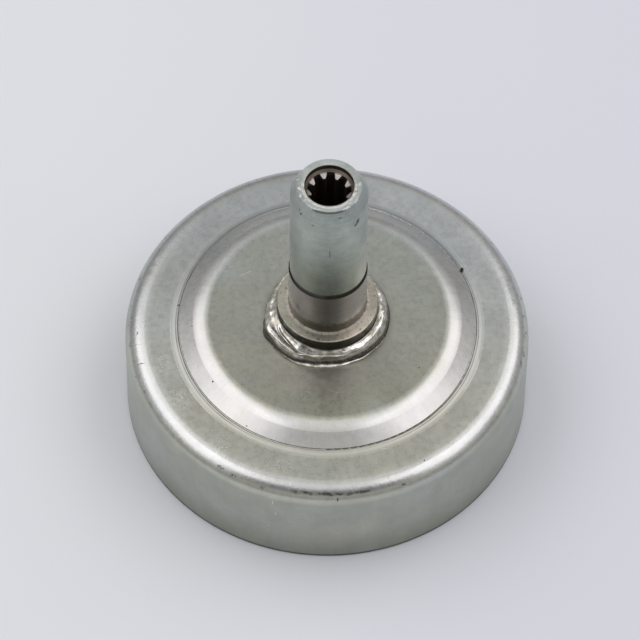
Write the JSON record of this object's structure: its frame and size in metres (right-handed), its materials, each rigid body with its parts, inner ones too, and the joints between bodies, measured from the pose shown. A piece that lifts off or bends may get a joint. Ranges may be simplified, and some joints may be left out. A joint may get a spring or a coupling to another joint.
{
  "type": "clutch drum",
  "caption": "Pressed steel clutch drum: an open cup with a raised centre, a welded hub with a bearing seat and ring groove, and a splined socket in the shaft's end.",
  "frame": {"origin": "centre of the cup's rim plane, on the drum's axis", "axes": "+Z along the axis from the open rim to the shaft's end; -Y towards the viewer of the picture; +X to the viewer's right"},
  "size_m": [0.078, 0.078, 0.0677],
  "materials": {
    "pressed_zinc_steel": "bright zinc plate, satin, faintly yellow-green",
    "turned_zinc_steel": "turned steel, zinc plated, bluish above the groove and darker on the bearing seat",
    "plated_weld": "weld metal under bright zinc plate, shiny and uneven"
  },
  "bodies": {
    "root": {"drum_cup": "pressed_zinc_steel", "hub_shaft": "turned_zinc_steel", "weld_bead": "plated_weld"}
  },
  "joints": []
}
